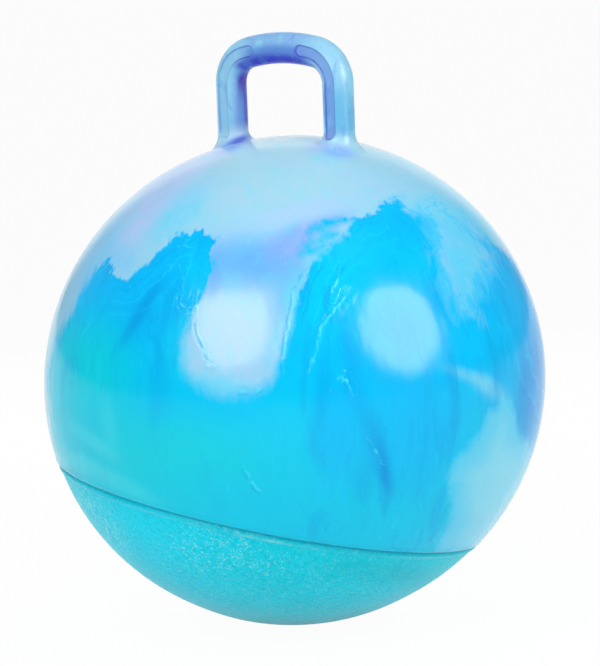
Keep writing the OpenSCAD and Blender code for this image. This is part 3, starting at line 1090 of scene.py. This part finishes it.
def clouded(name, first, second, cloud_scale, grain_scale, grain_depth, roughness):
    """A plain material with faint clouds of a second tint and a fine grain."""
    tree = Tree(name)
    place = tree.place()
    tint = tree.lay(first, second, tree.step(tree.noise(place, cloud_scale), 0.35, 0.7))
    normal = tree.bump(tree.noise(place, grain_scale, detail=2), grain_depth, 0.4)
    return tree.shade(Base_Color=tint, Roughness=roughness, Normal=normal)


def valve_rubber():
    return clouded("valve_rubber", SEAT_BLUE, SEAT_LIGHT, 120, 1800, 0.05 * MM, 0.4)


def plug_plastic():
    return clouded("plug_plastic", PLUG_WHITE, PLUG_LIGHT, 200, 2500, 0.03 * MM, 0.35)


def dress(piece, material):
    piece.data.materials.clear()
    piece.data.materials.append(material)


def thicken(piece, wall):
    """Gives an open skin its wall, towards the inside."""
    solid = piece.modifiers.new("wall", "SOLIDIFY")
    solid.thickness = wall
    solid.offset = -1
    solid.use_rim = True


# Light and floor

FLOOR_R = 80
FLOOR_WHITE = 0.9
# Share of plain white in what the camera and mirrors see of the floor
FLOOR_GLOW = 0.96


def plain_view(build):
    """1 for rays from the camera, from gloss and through glass, else 0."""
    path = build.add("ShaderNodeLightPath")
    seen = path.outputs["Is Camera Ray"]
    for name in ("Is Glossy Ray", "Is Transmission Ray"):
        seen = build.math("MAXIMUM", seen, path.outputs[name])
    return seen


def make_floor():
    bpy.ops.mesh.primitive_circle_add(vertices=128, radius=FLOOR_R, fill_type="NGON")
    floor = bpy.context.object
    floor.name = "floor"
    build = Tree("floor")
    build.shade(Base_Color=(FLOOR_WHITE,) * 3, Roughness=0.9, Specular_IOR_Level=0.0)
    glow = build.add("ShaderNodeEmission")
    cover = build.math("MULTIPLY", plain_view(build), FLOOR_GLOW)
    inputs = {0: cover, 1: build.shader.outputs[0], 2: glow.outputs[0]}
    both = build.add("ShaderNodeMixShader", inputs)
    build.put(build.tree.nodes["Material Output"].inputs["Surface"], both.outputs[0])
    floor.data.materials.append(build.owner)


# Lamps that show in the gloss only, and lamps that light the colours only: direction in the photo,
# to the right, up and to the camera, then distance and size in metres, and radiance
LEFT_BOX = (-0.447, 0.385, 0.808)
RIGHT_BOX = (0.696, 0.359, 0.622)
GLOSS_LAMPS = {
    "left_gloss": (LEFT_BOX, 1.9, 1.16, 7.4),
    "right_gloss": (RIGHT_BOX, 1.9, 1.22, 11.0),
}
KEY_LAMPS = {
    "left_key": (LEFT_BOX, 1.4, 1.0, 3.2),
    "right_key": (RIGHT_BOX, 1.4, 1.0, 2.5),
    "top_key": ((0.0, 0.97, 0.25), 1.6, 1.4, 1.5),
    "back_left_key": ((-0.64, 0.35, -0.68), 1.6, 1.1, 2.4),
    "back_right_key": ((0.64, 0.35, -0.68), 1.6, 1.1, 2.4),
}


def softbox(name, gloss, direction, distance, size, radiance):
    """A round lamp that shows in the gloss, or a square one that lights the colours."""
    lamp = bpy.data.objects.new(name, bpy.data.lights.new(name, "AREA"))
    lamp.data.shape = "DISK" if gloss else "SQUARE"
    lamp.data.size = size
    lamp.data.energy = radiance * math.pi * size**2
    lamp.visible_glossy = gloss
    lamp.visible_diffuse = not gloss
    right, up, near = direction
    towards = unit(right * IMAGE_RIGHT + up * IMAGE_UP + near * TO_CAMERA)
    lamp.location = Vector(CENTRE + distance * towards)
    lamp.rotation_euler = Vector(towards).to_track_quat("Z", "Y").to_euler()
    bpy.context.scene.collection.objects.link(lamp)


WORLD_LEVEL = 0.2
# The white wall behind the ball fills a cone: cosines of its soft edge, and how far its middle is raised
WALL_COSINES = (-0.88, -0.97)
WALL_RISE = 0.35


def make_world():
    """A dim, even studio with a white wall behind the ball."""
    build = Tree("studio", "worlds")
    bpy.context.scene.world = build.owner
    background = build.tree.nodes["Background"]
    direction = build.add("ShaderNodeTexCoord").outputs["Generated"]
    inputs = {0: direction, 1: unit(TO_CAMERA - WALL_RISE * IMAGE_UP)}
    facing = build.add("ShaderNodeVectorMath", inputs, operation="DOT_PRODUCT").outputs["Value"]
    build.put(background.inputs["Color"], (1, 1, 1))
    build.put(background.inputs["Strength"], build.step(facing, *WALL_COSINES, 1.0, WORLD_LEVEL))


make_camera()
skin = upper_skin()
paint_skin(skin)
base = base_skin()
paint_base(base)
handle = handle_loop()
dress(skin, marbled_vinyl())
dress(base, grained_vinyl())
dress(handle, handle_vinyl())
dress(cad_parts["valve_seat"], valve_rubber())
dress(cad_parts["valve_plug"], plug_plastic())
thicken(skin, UPPER_WALL)
thicken(base, BASE_WALL)
for piece, node in ((skin, "upper_shell"), (base, "base_shell"), (handle, "handle")):
    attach(piece, "ball")
    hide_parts(node)
make_floor()
make_world()
for name, settings in GLOSS_LAMPS.items():
    softbox(name, True, *settings)
for name, settings in KEY_LAMPS.items():
    softbox(name, False, *settings)

bpy.context.scene.view_settings.view_transform = "Standard"
